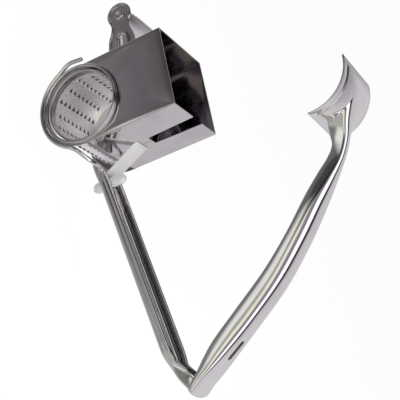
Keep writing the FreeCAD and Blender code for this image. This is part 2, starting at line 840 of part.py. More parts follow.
def arc_plate(radius, thick, start, end, y0, y1):
    """Part of a tube round the drum axis between two angles from the vertical."""
    full = ring(radius + thick, radius, y0, y1)
    reach = 3 * radius
    a = math.radians(start)
    b = math.radians(end)
    middle = (a + b) / 2
    wedge = plate([(0, 0), (reach * math.sin(a), reach * math.cos(a)),
                   (2 * reach * math.sin(middle), 2 * reach * math.cos(middle)),
                   (reach * math.sin(b), reach * math.cos(b))], y0 - 1, y1 + 1)
    return full.common(wedge)


def pusher_closed():
    """Pusher plate, hollowed to the drum and rounded at its corners."""
    y0 = hopper_depth / 2 - pusher_width / 2
    y1 = hopper_depth / 2 + pusher_width / 2
    pusher = arc_plate(pusher_radius, pusher_sheet, -pusher_front_angle,
                       pusher_back_angle, y0, y1)
    pusher.translate(V(pusher_set_back, 0, pusher_lift))
    return pusher


def upper_set(shape):
    """Closed shape opened about the hinge pin."""
    return turned(shape, -open_angle, hinge_x, hinge_z)


# ---------------------------------------------------------------- rivets

def strap_rivet():
    """Rivet through the strap's foot and the channel floor."""
    normal = strap_normal()
    top = strap_rivet_at() + normal * strap_sheet
    under = strap_rivet_at() - normal * (handle_sheet + foot_gap)
    shank = Part.makeCylinder(rivet_radius, (top - under).Length, under, normal)
    head = Part.makeCylinder(rivet_head_radius, rivet_head_height, top, normal)
    tail = Part.makeCylinder(rivet_head_radius, rivet_head_height,
                             under - normal * rivet_head_height, normal)
    return shank.fuse([head, tail]).removeSplitter()


# ---------------------------------------------------------------- nodes

def build():
    parts = {
        "hopper_near_panel": near_panel(),
        "hopper_far_panel": far_panel(),
        "hopper_front_wall": front_wall(),
        "hopper_back_flange_near": back_flange(True),
        "hopper_back_flange_far": back_flange(False),
        "outlet_ring": outlet_ring(),
        "bearing_bush": bearing_bush(),
        "grater_drum": grater_drum(),
        "drum_rim": drum_rim(),
        "drum_end_plate": drum_end_plate(),
        "drum_hub": drum_hub(),
        "spindle": spindle(),
        "crank_lever": crank_lever(),
        "crank_washer": crank_washer(),
        "crank_nut": crank_nut(),
        "knob_post": knob_post(),
        "knob": knob(),
        "lower_handle": lower_handle(),
        "cradle_arm_near": cradle_arm(-1),
        "cradle_arm_far": cradle_arm(1),
        "brace_strap": brace_strap(),
        "strap_rivet": strap_rivet(),
        "tab_plate": tab_plate(),
        "hinge_pin": hinge_pin(),
        "upper_handle": upper_set(upper_handle_closed()),
        "pusher_plate": upper_set(pusher_closed()),
    }
    return parts


os.makedirs("parts", exist_ok=True)
for name, shape in build().items():
    shape.exportStep("parts/" + name + ".step")
    print(name, "solids", len(shape.Solids), "valid", shape.isValid(),
          "volume", round(shape.Volume))
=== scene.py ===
# %% [markdown]
# # A hand cranked drum shredder
# The tool is mostly thin sheet steel that was cut, folded, drawn and rolled. The frame below
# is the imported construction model. Every piece that is added here keeps to its places, so the
# first step loads it and measures its box.

# %% Load the frame
import json
import math

import bmesh
import bpy
from mathutils import Matrix, Vector


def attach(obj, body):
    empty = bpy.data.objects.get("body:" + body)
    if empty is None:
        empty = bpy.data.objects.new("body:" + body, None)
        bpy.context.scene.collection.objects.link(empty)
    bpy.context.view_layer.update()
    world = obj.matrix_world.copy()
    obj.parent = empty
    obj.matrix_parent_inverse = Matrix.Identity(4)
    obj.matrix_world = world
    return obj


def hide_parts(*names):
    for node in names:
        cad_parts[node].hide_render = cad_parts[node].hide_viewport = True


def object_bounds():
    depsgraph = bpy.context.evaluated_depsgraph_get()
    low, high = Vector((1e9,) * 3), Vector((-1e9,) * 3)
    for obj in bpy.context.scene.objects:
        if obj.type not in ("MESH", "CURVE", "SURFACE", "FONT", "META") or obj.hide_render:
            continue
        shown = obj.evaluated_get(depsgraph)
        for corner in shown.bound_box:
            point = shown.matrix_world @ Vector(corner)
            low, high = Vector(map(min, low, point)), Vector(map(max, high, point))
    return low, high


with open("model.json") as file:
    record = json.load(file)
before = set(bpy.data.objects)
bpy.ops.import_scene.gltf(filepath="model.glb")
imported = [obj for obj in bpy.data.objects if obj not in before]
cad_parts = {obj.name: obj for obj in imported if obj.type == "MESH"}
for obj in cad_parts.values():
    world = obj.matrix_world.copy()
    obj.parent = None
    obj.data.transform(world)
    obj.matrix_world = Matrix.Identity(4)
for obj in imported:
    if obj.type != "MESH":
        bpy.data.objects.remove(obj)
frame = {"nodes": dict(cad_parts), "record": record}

MM = 0.001
nodes = frame["nodes"]
cad_low, cad_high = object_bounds()
print("frame box in mm:", [round(x / MM, 1) for x in (*cad_low, *cad_high)])

# %% [markdown]
# ## Camera
# The tool is looked at from its open end, a little from above and from the handle's side, and
# the view is rolled so that the handles hang down. An azimuth, an elevation and a roll
# are easier to read than a matrix of bare numbers.

# %% Camera
AZIMUTH = math.radians(25.636)
ELEVATION = math.radians(20.971)
ROLL = math.radians(68.225)
DISTANCE = 622.3 * MM
ACROSS = 76.12 * MM
UPWARD = -61.23 * MM
LENS = 87.7

back = Vector((math.sin(AZIMUTH) * math.cos(ELEVATION),
               -math.cos(AZIMUTH) * math.cos(ELEVATION), math.sin(ELEVATION)))
level = Vector((math.cos(AZIMUTH), math.sin(AZIMUTH), 0.0))
upright = back.cross(level)
right = level * math.cos(ROLL) + upright * math.sin(ROLL)
up = upright * math.cos(ROLL) - level * math.sin(ROLL)

camera_data = bpy.data.cameras.new("camera")
camera_data.lens = LENS
camera_data.clip_start = 0.01
camera_data.clip_end = 20.0
camera = bpy.data.objects.new("camera", camera_data)
bpy.context.scene.collection.objects.link(camera)
camera.matrix_world = Matrix.Translation(back * DISTANCE + right * ACROSS + up * UPWARD) @ \
    Matrix((right, up, back)).transposed().to_4x4()
bpy.context.scene.camera = camera
print("camera at", [round(x / MM) for x in camera.matrix_world.translation])

# %% [markdown]
# ## Shader nodes
# The room, the floor and the metals are all drawn with shader nodes. The few kinds that come
# back often get a helper here, so that each material reads as what is mixed with what.

# %% Shader nodes
def feed(tree, socket, value):
    """Links another node's output to a socket, or gives it a plain value."""
    if isinstance(value, bpy.types.NodeSocket):
        tree.links.new(value, socket)
    else:
        socket.default_value = value


def link_math(tree, operation, first, second):
    """Math node with two inputs, each a socket or a number; returns its output."""
    node = tree.nodes.new("ShaderNodeMath")
    node.operation = operation
    feed(tree, node.inputs[0], first)
    feed(tree, node.inputs[1], second)
    return node.outputs[0]


def add_range(tree, value, low, high):
    """How far a value lies from low to high, kept between 0 and 1."""
    node = tree.nodes.new("ShaderNodeMapRange")
    node.inputs["From Min"].default_value = low
    node.inputs["From Max"].default_value = high
    tree.links.new(value, node.inputs["Value"])
    return node.outputs[0]


def mix_colours(tree, share, first, second, blend="MIX"):
    """Blend of two colours, each a socket or plain; returns its output."""
    node = tree.nodes.new("ShaderNodeMix")
    node.data_type = "RGBA"
    node.blend_type = blend
    feed(tree, node.inputs["Factor"], share)
    feed(tree, node.inputs[6], first)
    feed(tree, node.inputs[7], second)
    return node.outputs[2]


def mix_surface(tree, share, first, second, output):
    """Ends a node tree in the mix of two shaders."""
    mix = tree.nodes.new("ShaderNodeMixShader")
    for socket, value in zip(mix.inputs, (share, first, second)):
        tree.links.new(value, socket)
    tree.links.new(mix.outputs[0], tree.nodes.new(output).inputs[0])


def add_noise(tree, vector, scale, detail, roughness=0.55):
    """Noise texture on a vector; returns its value output."""
    node = tree.nodes.new("ShaderNodeTexNoise")
    node.inputs["Scale"].default_value = scale
    node.inputs["Detail"].default_value = detail
    node.inputs["Roughness"].default_value = roughness
    tree.links.new(vector, node.inputs["Vector"])
    return node.outputs["Fac"]


def add_ramp(tree, value, stops):
    """Colour ramp over a full turn; stops are angles in degrees with their colours."""
    ramp = tree.nodes.new("ShaderNodeValToRGB")
    tree.links.new(value, ramp.inputs[0])
    ramp.color_ramp.interpolation = "EASE"
    elements = ramp.color_ramp.elements
    for number, (angle, colour) in enumerate(stops):
        place = 0.5 + angle / 360
        element = elements[number] if number < 2 else elements.new(place)
        element.position = place
        element.color = (*colour, 1.0)
    return ramp.outputs[0]


WHITE = (1.0, 1.0, 1.0, 1.0)
print("white:", WHITE)

# %% [markdown]
# ## Light
# Polished metal has no look of its own: it shows the room. A studio could be built from cards
# and soft boxes, each with its own place and size. Here the room is painted on the world from
# the direction alone, so it stays put when the camera moves. A direction's angle round X picks
# a colour on a ramp. Its X part picks the ramp: one wall is in front of the hopper, one beside
# the tool and one behind the handles.
# Each row below is that angle in degrees (0 looks along +Y, 90 straight up) and a colour.

# %% Room colours
FRONT_ROOM = [
    (-180, (0.06, 0.06, 0.06)), (-172, (0.14, 0.13, 0.135)), (-160, (0.17, 0.155, 0.165)),
    (-135, (0.20, 0.19, 0.20)), (-111, (0.30, 0.30, 0.29)), (-84, (0.36, 0.37, 0.34)),
    (-60, (0.55, 0.56, 0.52)), (-23, (1.0, 1.0, 1.0)), (2, (0.60, 0.59, 0.60)),
    (23, (0.30, 0.29, 0.30)), (50, (0.16, 0.15, 0.16)), (95, (0.12, 0.115, 0.12)),
    (107, (0.15, 0.14, 0.15)), (112, (0.80, 0.79, 0.80)), (119, (0.80, 0.79, 0.80)),
    (126, (0.12, 0.115, 0.12)), (144, (0.03, 0.03, 0.03)), (180, (0.06, 0.06, 0.06))]
SIDE_ROOM = [
    (-180, (0.38, 0.39, 0.35)), (-174, (0.85, 0.86, 0.82)), (-164, (0.85, 0.86, 0.82)),
    (-155, (0.22, 0.22, 0.20)), (-120, (0.28, 0.28, 0.27)), (-60, (0.52, 0.51, 0.52)),
    (-23, (0.63, 0.615, 0.63)), (0, (0.68, 0.665, 0.68)), (25, (0.62, 0.60, 0.62)),
    (45, (0.40, 0.38, 0.41)), (58, (0.035, 0.03, 0.04)), (95, (0.04, 0.035, 0.04)),
    (160, (0.03, 0.03, 0.03)), (172, (0.20, 0.205, 0.18)), (180, (0.38, 0.39, 0.35))]
BACK_ROOM = [
    (-180, (0.42, 0.43, 0.38)), (-160, (0.44, 0.45, 0.41)), (-120, (0.46, 0.46, 0.44)),
    (-60, (0.52, 0.51, 0.52)), (-23, (0.63, 0.615, 0.63)), (0, (0.68, 0.665, 0.68)),
    (25, (0.62, 0.60, 0.62)), (45, (0.45, 0.43, 0.46)), (56, (0.035, 0.03, 0.04)),
    (76, (0.03, 0.025, 0.03)), (83, (1.25, 1.23, 1.25)), (120, (1.25, 1.23, 1.25)),
    (127, (0.22, 0.20, 0.25)), (149, (0.30, 0.28, 0.33)), (155, (1.0, 0.98, 0.80)),
    (167, (0.85, 0.84, 0.66)), (173, (0.40, 0.41, 0.37)), (180, (0.42, 0.43, 0.38))]
SIDE_SHARE, BACK_SHARE = (-0.46, -0.30), (-0.02, 0.12)
print("room stops:", len(FRONT_ROOM), len(SIDE_ROOM), len(BACK_ROOM))

# %% [markdown]
# ## Room
# The front room's ramp is laid first and the other two are blended over it where the
# direction's X rises through their share. Rays that come straight from the camera see plain
# white in place of the room.

# %% Room
def make_room():
    """World that polished metal sees: three painted walls, white to the camera."""
    world = bpy.data.worlds.new("studio")
    world.use_nodes = True
    tree = world.node_tree
    tree.nodes.clear()
    coords = tree.nodes.new("ShaderNodeTexCoord")
    split = tree.nodes.new("ShaderNodeSeparateXYZ")
    tree.links.new(coords.outputs["Generated"], split.inputs[0])
    turn = link_math(tree, "ARCTAN2", split.outputs["Z"], split.outputs["Y"])
    place = add_range(tree, turn, -math.pi, math.pi)
    colour = add_ramp(tree, place, FRONT_ROOM)
    for stops, share in ((SIDE_ROOM, SIDE_SHARE), (BACK_ROOM, BACK_SHARE)):
        wall = add_range(tree, split.outputs["X"], *share)
        colour = mix_colours(tree, wall, colour, add_ramp(tree, place, stops))
    path = tree.nodes.new("ShaderNodeLightPath")
    seen = tree.nodes.new("ShaderNodeBackground")
    seen.inputs["Color"].default_value = WHITE
    room = tree.nodes.new("ShaderNodeBackground")
    tree.links.new(colour, room.inputs["Color"])
    mix_surface(tree, path.outputs["Is Camera Ray"], room.outputs[0], seen.outputs[0],
                "ShaderNodeOutputWorld")
    bpy.context.scene.world = world
    return world


print("world nodes:", len(make_room().node_tree.nodes))
bpy.context.scene.view_settings.view_transform = "Standard"

# %% [markdown]
# ## Lamps
# Two large soft lamps light the floor and the small part of the metals that isn't mirror.
# They aren't seen in the polished sheet, which they would burn out.

# %% Soft lamps
def soft_lamp(name, place, aim, size, power):
    """Large square lamp at place, turned to aim; both in millimetres."""
    data = bpy.data.lights.new(name, "AREA")
    data.shape = "RECTANGLE"
    data.size, data.size_y = size[0] * MM, size[1] * MM
    data.energy = power
    lamp = bpy.data.objects.new(name, data)
    bpy.context.scene.collection.objects.link(lamp)
    start, end = Vector(place) * MM, Vector(aim) * MM
    lamp.visible_glossy = False
    lamp.location = start
    lamp.rotation_euler = (end - start).to_track_quat("-Z", "Y").to_euler()
    return lamp


soft_lamp("floor_box", (500, -300, 600), (80, 30, 0), (600, 600), 8.0)
soft_lamp("front_box", (260, -620, 200), (0, 30, 0), (260, 260), 8.0)
print("lamps:", [lamp.name for lamp in bpy.data.lights])

# %% [markdown]
# ## Floor
# The floor only has to be pale and to catch a soft shadow. It lies well below the lowest
# point, and it isn't seen in the metal, which would otherwise turn all white.

# %% Floor
FLOOR_DROP, FLOOR_GREY, FLOOR_GLOW = 30 * MM, 0.92, 0.95


def make_floor():
    """Pale plane under the object."""
    mesh = bpy.data.meshes.new("floor")
    shape = bmesh.new()
    bmesh.ops.create_grid(shape, x_segments=1, y_segments=1, size=4.0)
    bmesh.ops.translate(shape, vec=(0, 0, cad_low.z - FLOOR_DROP), verts=shape.verts)
    shape.to_mesh(mesh)
    shape.free()
    floor = bpy.data.objects.new("floor", mesh)
    bpy.context.scene.collection.objects.link(floor)
    floor.visible_glossy = False
    material = bpy.data.materials.new("pale_floor")
    material.use_nodes = True
    tree = material.node_tree
    tree.nodes.clear()
    diffuse = tree.nodes.new("ShaderNodeBsdfDiffuse")
    diffuse.inputs["Color"].default_value = (FLOOR_GREY, FLOOR_GREY, FLOOR_GREY, 1.0)
    glow = tree.nodes.new("ShaderNodeEmission")
    glow.inputs["Color"].default_value = WHITE
    path = tree.nodes.new("ShaderNodeLightPath")
    share = link_math(tree, "MULTIPLY", path.outputs["Is Camera Ray"], FLOOR_GLOW)
    mix_surface(tree, share, diffuse.outputs[0], glow.outputs[0],
                "ShaderNodeOutputMaterial")
    mesh.materials.append(material)
    return floor


print("floor at", round(make_floor().data.vertices[0].co.z / MM), "mm")

# %% [markdown]
# ## Finish of the sheet metal
# Bright rolled sheet is never even. It has fine rolling lines, small dents, cloudy patches
# from hands and washing, and a few scratches. One node group makes these as a colour, a
# roughness and a height, and each metal gives it its own values.

# %% Wear of sheet metal
def make_sheet_wear():
    """Node group: rolling lines, cloudy patches and scratches of bright sheet."""
    group = bpy.data.node_groups.new("sheet_wear", "ShaderNodeTree")
    face = group.interface
    for way, name, kind in (("INPUT", "Bright", "Color"), ("INPUT", "Dull", "Color"),
                            ("INPUT", "Stretch", "Vector"), ("INPUT", "Smooth", "Float"),
                            ("INPUT", "Spread", "Float"), ("OUTPUT", "Colour", "Color"),
                            ("OUTPUT", "Roughness", "Float"), ("OUTPUT", "Height", "Float")):
        face.new_socket(name=name, in_out=way, socket_type="NodeSocket" + kind)
    enter = group.nodes.new("NodeGroupInput")
    leave = group.nodes.new("NodeGroupOutput")
    coords = group.nodes.new("ShaderNodeTexCoord")
    place = coords.outputs["Object"]
    stretch = group.nodes.new("ShaderNodeVectorMath")
    stretch.operation = "MULTIPLY"
    group.links.new(place, stretch.inputs[0])
    group.links.new(enter.outputs["Stretch"], stretch.inputs[1])
    lines = add_noise(group, stretch.outputs[0], 1.0, 3.0)
    clouds = add_noise(group, place, 55.0, 5.0)
    marks = add_noise(group, place, 420.0, 2.0)
    scratch_noise = add_noise(group, stretch.outputs[0], 0.35, 1.0, 0.4)
    scratches = add_range(group, scratch_noise, 0.66, 0.70)
    patch = add_range(group, clouds, 0.42, 0.68)
    shade = link_math(group, "ADD", link_math(group, "MULTIPLY", patch, 0.65),
                      link_math(group, "MULTIPLY", lines, 0.35))
    colour = mix_colours(group, shade, enter.outputs["Bright"], enter.outputs["Dull"])
    group.links.new(colour, leave.inputs["Colour"])
    uneven = link_math(group, "ADD", link_math(group, "MULTIPLY", patch, 0.6),
                       link_math(group, "MULTIPLY", scratches, 0.5))
    rough = link_math(group, "MULTIPLY", uneven, enter.outputs["Spread"])
    group.links.new(link_math(group, "ADD", rough, enter.outputs["Smooth"]),
                    leave.inputs["Roughness"])
    height = link_math(group, "ADD", link_math(group, "MULTIPLY", lines, 0.5),
                       link_math(group, "MULTIPLY", marks, 0.35))
    height = link_math(group, "SUBTRACT", height, link_math(group, "MULTIPLY", scratches, 0.4))
    group.links.new(height, leave.inputs["Height"])
    return group


sheet_wear = make_sheet_wear()
print("group sockets:", [item.name for item in sheet_wear.interface.items_tree])

# %% [markdown]
# ## Metals
# Plated sheet is almost a mirror, the hopper's sheet shows its rolling lines, and the drum's
# sheet and the turned knob are dull. A metal is made from two colours, the stretch of its
# lines, its roughness with its spread and the height of its relief. The drum's sheet is a
# little less than full metal, which stands for the many tiny facets that punching leaves.

# %% Metals
def make_metal(name, bright, dull, stretch, smooth, spread, bump, metallic=1.0):
    """Metal whose colour, shine and relief come from the wear group."""
    material = bpy.data.materials.new(name)
    material.use_nodes = True
    tree = material.node_tree
    shader = tree.nodes["Principled BSDF"]
    shader.inputs["Metallic"].default_value = metallic
    wear = tree.nodes.new("ShaderNodeGroup")
    wear.node_tree = sheet_wear
    values = ((*bright, 1.0), (*dull, 1.0), stretch, smooth, spread)
    for socket, value in zip(wear.inputs, values):
        socket.default_value = value
    relief = tree.nodes.new("ShaderNodeBump")
    relief.inputs["Strength"].default_value = bump
    relief.inputs["Distance"].default_value = 0.03 * MM
    tree.links.new(wear.outputs["Height"], relief.inputs["Height"])
    tree.links.new(wear.outputs["Colour"], shader.inputs["Base Color"])
    tree.links.new(wear.outputs["Roughness"], shader.inputs["Roughness"])
    tree.links.new(relief.outputs["Normal"], shader.inputs["Normal"])
    return material


metals = {
    "hopper_sheet": make_metal("rolled_sheet", (0.72, 0.70, 0.72), (0.60, 0.58, 0.61),
                               (1500, 1500, 90), 0.09, 0.07, 0.06),
    "drum_sheet": make_metal("punched_sheet", (0.92, 0.90, 0.92), (0.80, 0.78, 0.81),
                             (900, 200, 900), 0.22, 0.10, 0.02, 0.85),
    "plated_steel": make_metal("plated_sheet", (0.88, 0.87, 0.88), (0.78, 0.76, 0.78),
                               (120, 1400, 120), 0.05, 0.05, 0.003),
    "crank_steel": make_metal("pressed_sheet", (0.76, 0.74, 0.75), (0.62, 0.60, 0.62),
                              (90, 900, 1200), 0.14, 0.10, 0.08),
    "turned_metal": make_metal("turned_metal", (0.80, 0.79, 0.80), (0.70, 0.69, 0.70),
                               (200, 2600, 200), 0.24, 0.10, 0.1),
    "pin_steel": make_metal("pin_steel", (0.80, 0.79, 0.79), (0.62, 0.61, 0.62),
                            (700, 700, 700), 0.12, 0.12, 0.08),
}
print("metals:", sorted(metals))

# %% [markdown]
# ## Painted inside shade and satin metal
# The insides of the tool get painted shade: their metal is made darker than the polished
# outside. The hopper's panels are single plates, so their inner faces are found by a box in
# Object coordinates. Skins with a wall get a second, dark metal for their inner side instead,
# which paints shade there too. The strap and the tab are cut from satin sheet.

# %% Insides and satin metal
INSIDE_BOX = (("X", -27.6, 27.6), ("Y", 0.4, 55.6), ("Z", -40.0, 63.8))


def paint_hopper_inside_shade(material, share):
    """Painted shade: lowers the colour of a hopper metal on the faces that look into the
    hopper.
    """
    tree = material.node_tree
    split = tree.nodes.new("ShaderNodeSeparateXYZ")
    coords = tree.nodes.new("ShaderNodeTexCoord")
    tree.links.new(coords.outputs["Object"], split.inputs[0])
    mask = 1.0
    for axis, low, high in INSIDE_BOX:
        above = link_math(tree, "GREATER_THAN", split.outputs[axis], low * MM)
        below = link_math(tree, "LESS_THAN", split.outputs[axis], high * MM)
        mask = link_math(tree, "MULTIPLY", link_math(tree, "MULTIPLY", above, below), mask)
    shader = tree.nodes["Principled BSDF"]
    colour = shader.inputs["Base Color"].links[0].from_socket
    darker = mix_colours(tree, mask, colour, (share, share * 0.95, share, 1.0), "MULTIPLY")
    tree.links.new(darker, shader.inputs["Base Color"])


# Painted shade: the hopper's inner faces keep 0.42 of their colour.
paint_hopper_inside_shade(metals["hopper_sheet"], 0.42)
satin = make_metal("satin_sheet", (0.66, 0.655, 0.65), (0.58, 0.57, 0.575),
                   (200, 900, 200), 0.28, 0.10, 0.05, 0.75)
# Dark metal that paints shade on the inner skins of walled pieces.
inside_shade_metal = make_metal("shade_painted_inside", (0.22, 0.21, 0.22), (0.14, 0.13, 0.14),
                         (120, 1400, 120), 0.16, 0.10, 0.003)
print("more metals:", satin.name, inside_shade_metal.name)

# %% [markdown]
# ## From mesh to piece
# Each piece is drawn as a bmesh in millimetres of the frame. One helper scales it to metres,
# gives it its metal and its wall, and ties it to the body that carries it. A second one paints
# shade on the inner side of such a wall, as a dark metal.

# %% Piece helper
def ease_edges(piece, width, sharp, split):
    """Bevels edges of more than sharp degrees, then parts the ones of more than split."""
    if width:
        bevel = piece.modifiers.new("bevel", "BEVEL")
        bevel.width = width * MM
        bevel.segments = 2
        bevel.limit_method = "ANGLE"
        bevel.angle_limit = math.radians(sharp)
    parting = piece.modifiers.new("split", "EDGE_SPLIT")
    parting.split_angle = math.radians(split)


def add_piece(name, shape, slot, body, replaced, wall=0.0, edge=0.0, split=32, even=True):
    """Object from a bmesh in millimetres; wall is the sheet laid under its faces."""
    bmesh.ops.scale(shape, vec=(MM, MM, MM), verts=shape.verts)
    mesh = bpy.data.meshes.new(name)
    shape.to_mesh(mesh)
    shape.free()
    mesh.materials.append(metals[slot])
    for polygon in mesh.polygons:
        polygon.use_smooth = True
    piece = bpy.data.objects.new(name, mesh)
    bpy.context.scene.collection.objects.link(piece)
    if wall:
        thicken = piece.modifiers.new("wall", "SOLIDIFY")
        thicken.thickness = wall * MM
        thicken.offset = -1.0
        thicken.use_even_offset = even
    ease_edges(piece, edge, 50, split)
    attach(piece, body)
    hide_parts(*replaced)
    print(name, "faces:", len(mesh.polygons))
    return piece


def paint_inner_skin_shade(piece, dark):
    """Paints shade on the inner skin of the faces with index 0 with a dark metal, and no
    others.
    """
    bright = piece.data.materials[0]
    for material in (dark, bright, bright):
        piece.data.materials.append(material)
    piece.modifiers["wall"].material_offset = 1


print("metals for pieces:", len(metals))

# %% [markdown]
# ## Drawing helpers
# Most of the tool is round or bent, so a few helpers serve it all: they turn a skin to face
# outward, turn it about a line along Y, and give an arc, a closed loop and a lathe turn.

# %% Drawing helpers
def face_out(shape, outward):
    """Turns the whole skin over if most of it doesn't face the way outward(centre) says."""
    bmesh.ops.recalc_face_normals(shape, faces=shape.faces)
    total = 0.0
    for face in shape.faces:
        total += face.normal.dot(outward(face.calc_center_median())) * face.calc_area()
    if total < 0:
        bmesh.ops.reverse_faces(shape, faces=shape.faces)
    return shape


def arc(centre, radius, start, end, count):
    """Points on an arc round centre, from one angle in degrees to another."""
    points = []
    for number in range(count + 1):
        turn = math.radians(start + (end - start) * number / count)
        points.append((centre[0] + radius * math.cos(turn),
                       centre[1] + radius * math.sin(turn)))
    return points


def closed_loop(shape, points):
    """Vertices and edges of a closed loop of (x, y) points."""
    verts = [shape.verts.new((x, y, 0.0)) for x, y in points]
    return verts, [shape.edges.new(pair) for pair in zip(verts, verts[1:] + verts[:1])]


def turn_about_y(shape, verts, angle, centre=(0, 0, 0)):
    """Turns vertices about the line along Y through centre, by an angle in radians."""
    bmesh.ops.rotate(shape, verts=verts, cent=centre, matrix=Matrix.Rotation(angle, 3, "Y"))


def lathe(profile, steps, aside=(0.0, 0.0)):
    """Full turn round a line along Y of a closed profile of (radius, y) pairs."""
    shape = bmesh.new()
    verts, edges = closed_loop(shape, profile)
    bmesh.ops.spin(shape, geom=verts + edges, cent=(0, 0, 0), axis=(0, 1, 0),
                   angle=math.tau, steps=steps, use_merge=True)
    bmesh.ops.remove_doubles(shape, verts=shape.verts, dist=0.001)
    bmesh.ops.recalc_face_normals(shape, faces=shape.faces)
    bmesh.ops.translate(shape, vec=(aside[0], 0.0, aside[1]), verts=shape.verts)
    return shape


print("half arc:", [round(x) for x, _ in arc((0, 0), 9, 0, 180, 4)])

# %% [markdown]
# ## Outlet collar
# The edge of the round outlet is drawn out of the panel and its lip is rolled outward to a
# bead. A bead has one thin line of light along its crest. A lathe turn of the true section
# gives that line, which a plain tube with a bump map would not. Behind the panel the collar
# runs on for a short way and closes the gap beside the drum's rim.

# %% Outlet collar
OUTLET, COLLAR_FRONT, COLLAR_BACK = 25.3, -1.9, 2.6
BEAD, FOOT, SKIRT = 0.95, OUTLET + 1.7, OUTLET + 0.6
collar = [(OUTLET, COLLAR_BACK), (OUTLET, COLLAR_FRONT)]
collar += arc((OUTLET + BEAD, COLLAR_FRONT), BEAD, 180, 360, 14)
collar += arc((OUTLET + BEAD, COLLAR_FRONT), BEAD, 20, 60, 3)
collar += arc((FOOT, -0.8), 0.8, 160, 90, 4)
collar += [(FOOT, 0.0), (SKIRT, 0.0), (SKIRT, COLLAR_BACK)]
ring = add_piece("outlet_collar", lathe(collar, 128), "plated_steel", "frame",
                 ["outlet_ring"])
ring.data.materials[0] = metals["crank_steel"]

# %% [markdown]
# ## Toothed drum
# The drum is a sheet with staggered rows of punched points, rolled and closed. Each point is
# a small hood: the punch tears the sheet along one line and pushes it out behind that line.
# Booleans on a tube would be slow and leave slivers. Instead one pair of rows is filled flat
# with its openings, given its hoods and cut across, so that it can bend.

# %% Flat pair of rows
DRUM_RADIUS, DRUM_FRONT, DRUM_LENGTH = 24.3, 5.0, 46.0
ROWS, TEETH, PITCH, FIRST_TOOTH = 16, 9, 4.7, 4.4
HOOD_HALF, HOOD_BACK, HOOD_RISE, HOOD_LEAN = 1.7, 3.8, 1.0, -0.2
BENDS = 16          # cuts across a pair of rows
PLAIN_SHEET = 2     # material of the faces that are bright on both sides
ROW_WIDTH = math.tau * DRUM_RADIUS / ROWS


def tooth_places():
    """Place of each tooth in a pair of rows: across the rows, along the drum."""
    places = []
    for row in range(2):
        for number in range(TEETH - row):
            places.append(((row + 0.5) * ROW_WIDTH,
                           FIRST_TOOTH + (number + row * 0.5) * PITCH))
    return places


def flat_rows():
    """Two rows of the punched sheet, laid flat: u across, v along the drum, height up."""
    shape = bmesh.new()
    width = 2 * ROW_WIDTH
    edges = closed_loop(shape, [(0, 0), (width, 0), (width, DRUM_LENGTH),
                                (0, DRUM_LENGTH)])[1]
    hoods = []
    for u, v in tooth_places():
        verts, loop = closed_loop(shape, [(u, v - HOOD_HALF), (u, v + HOOD_HALF),
                                          (u - HOOD_BACK, v)])
        edges += loop
        hoods.append((u, v, verts))
    bmesh.ops.triangle_fill(shape, use_beauty=True, use_dissolve=False, edges=edges,
                            normal=(0, 0, 1))
    for face in shape.faces:
        face.material_index = PLAIN_SHEET
    for u, v, (near, far, heel) in hoods:
        crest = [near]
        for sine, rise in arc((0.0, 0.0), 1.0, -60, 60, 4):
            crest.append(shape.verts.new((u + HOOD_LEAN * sine, v + HOOD_HALF * rise,
                                          HOOD_RISE * sine)))
        crest.append(far)
        for first, second in zip(crest, crest[1:]):
            shape.faces.new((heel, second, first))
    for number in range(1, BENDS):
        bmesh.ops.bisect_plane(shape, geom=shape.verts[:] + shape.edges[:] + shape.faces[:],
                               dist=0.0001, plane_co=(width * number / BENDS, 0, 0),
                               plane_no=(1, 0, 0))
    return shape


rows = flat_rows()
print("pair of rows:", len(rows.faces), "faces")

# %% [markdown]
# ## Rolled drum
# The flat pair is bent round the axis, repeated until the rows close the circle, and welded
# along its seams. Two half round notches in the front edge let the sheet be held when it is
# rolled. They are made by pulling edge points back, which keeps the sheet in one skin. The
# inside of each hood carries painted shade: its inner skin gets a dark metal.

# %% Rolled drum
NOTCH_ANGLES, NOTCH_RADIUS = (212.0, 229.0), 1.7


def roll_up(shape):
    """Bends the flat sheet round the drum axis."""
    for vert in shape.verts:
        u, v, height = vert.co
        turn = u / DRUM_RADIUS
        radius = DRUM_RADIUS + height
        vert.co = (radius * math.cos(turn), DRUM_FRONT + v, radius * math.sin(turn))


def notch_front(shape):
    """Pulls the front edge of the sheet back to half round notches."""
    for vert in shape.verts:
        if vert.co.y > DRUM_FRONT + 0.01:
            continue
        angle = math.degrees(math.atan2(vert.co.z, vert.co.x)) % 360
        for notch in NOTCH_ANGLES:
            away = math.radians(angle - notch) * DRUM_RADIUS / NOTCH_RADIUS
            if abs(away) < 1:
                vert.co.y += NOTCH_RADIUS * math.sqrt(1 - away * away)


def punched_drum():
    """The whole rolled sheet, made from the flat pair of rows."""
    roll_up(rows)
    first = rows.verts[:] + rows.edges[:] + rows.faces[:]
    for number in range(1, ROWS // 2):
        copy = bmesh.ops.duplicate(rows, geom=first)
        moved = [item for item in copy["geom"] if isinstance(item, bmesh.types.BMVert)]
        turn_about_y(rows, moved, -math.tau * 2 * number / ROWS)
    bmesh.ops.remove_doubles(rows, verts=rows.verts, dist=0.01)
    notch_front(rows)
    return face_out(rows, lambda place: Vector((place.x, 0, place.z)))


drum = add_piece("punched_drum", punched_drum(), "drum_sheet", "drum", ["grater_drum"],
                 wall=0.3, split=28, even=False)
# Painted shade: the hoods' inner skins get the dark metal; the plain sheet stays bright.
paint_inner_skin_shade(drum, inside_shade_metal)

# %% [markdown]
# ## Drum rim
# A plain rim with a beaded edge stiffens the drum's open end and runs inside the collar. It
# is a lathe turn like the collar, and as dull as the crank.

